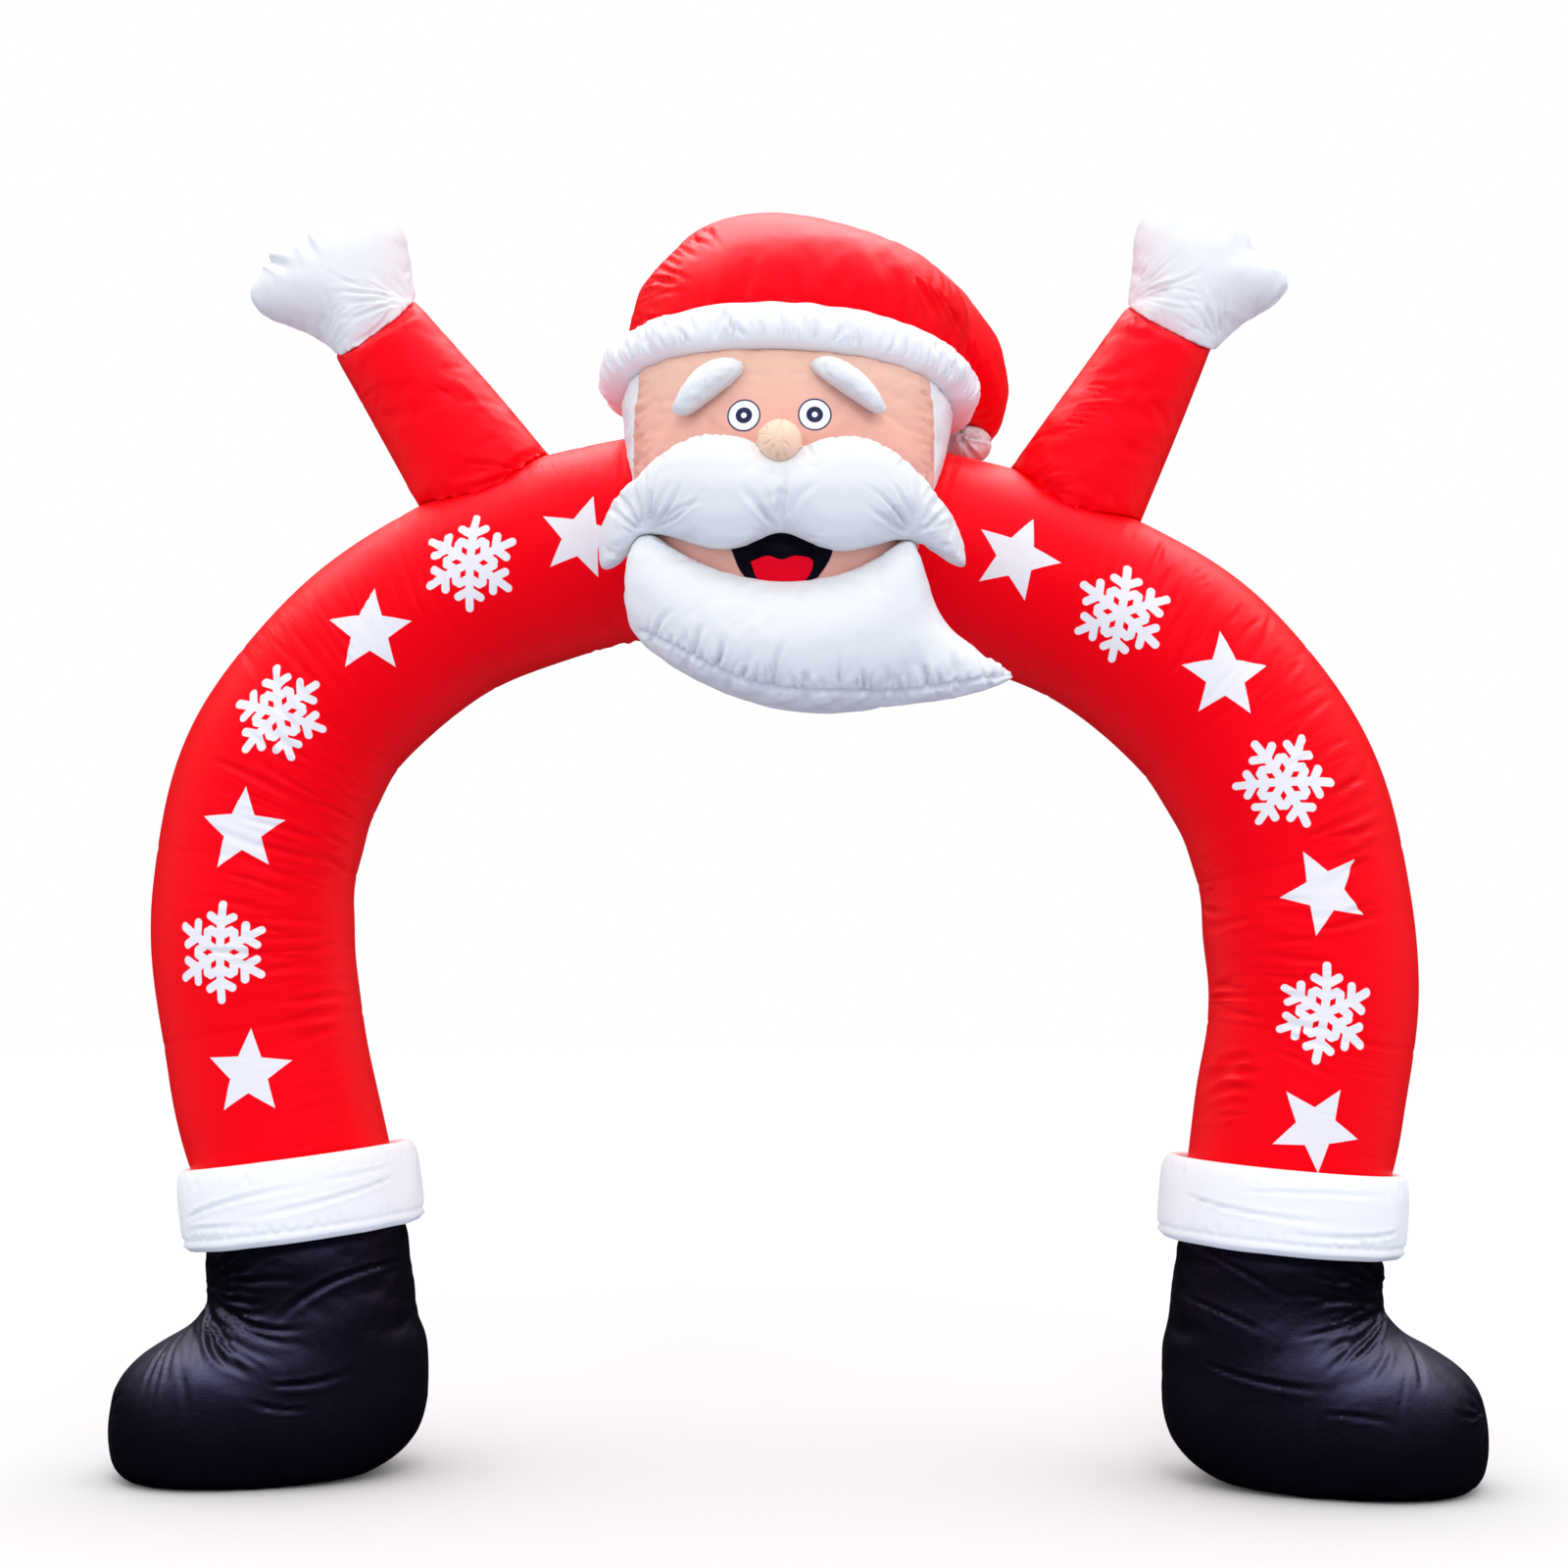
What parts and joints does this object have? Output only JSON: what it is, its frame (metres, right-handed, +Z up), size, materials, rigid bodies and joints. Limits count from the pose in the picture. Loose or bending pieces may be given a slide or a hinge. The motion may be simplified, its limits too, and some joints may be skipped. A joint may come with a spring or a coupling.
{
  "type": "inflatable arch",
  "caption": "Inflatable entrance arch of sewn nylon: a red air-filled tube on black boots, with raised mittened arms and a white-bearded head in a red hat.",
  "frame": {"origin": "on the floor, at the middle of the bounding box", "axes": "+Z up, +X along the arch's span towards the side where the hat's tail hangs, and the front faces -Y"},
  "size_m": [3.4776, 1.0832, 3.302],
  "materials": {
    "red_nylon": "smooth bright red coated nylon with a soft sheen",
    "white_nylon": "smooth white coated nylon with a soft sheen",
    "black_nylon": "black satin nylon",
    "skin_nylon": "smooth peach coated nylon",
    "nose_nylon": "smooth tan coated nylon",
    "tongue_nylon": "smooth red coated nylon"
  },
  "bodies": {
    "root": {"arch_tube": "red_nylon", "boot_left": "black_nylon", "boot_right": "black_nylon", "cuff_left": "white_nylon", "cuff_right": "white_nylon", "sleeve_left": "red_nylon", "sleeve_right": "red_nylon", "mitten_left": "white_nylon", "mitten_right": "white_nylon", "face": "skin_nylon", "hair": "white_nylon", "hat_band": "white_nylon", "hat_crown": "red_nylon", "pompom": "white_nylon", "brow_left": "white_nylon", "brow_right": "white_nylon", "nose": "nose_nylon", "moustache": "white_nylon", "beard": "white_nylon", "mouth_panel": "black_nylon", "tongue": "tongue_nylon"}
  },
  "joints": []
}
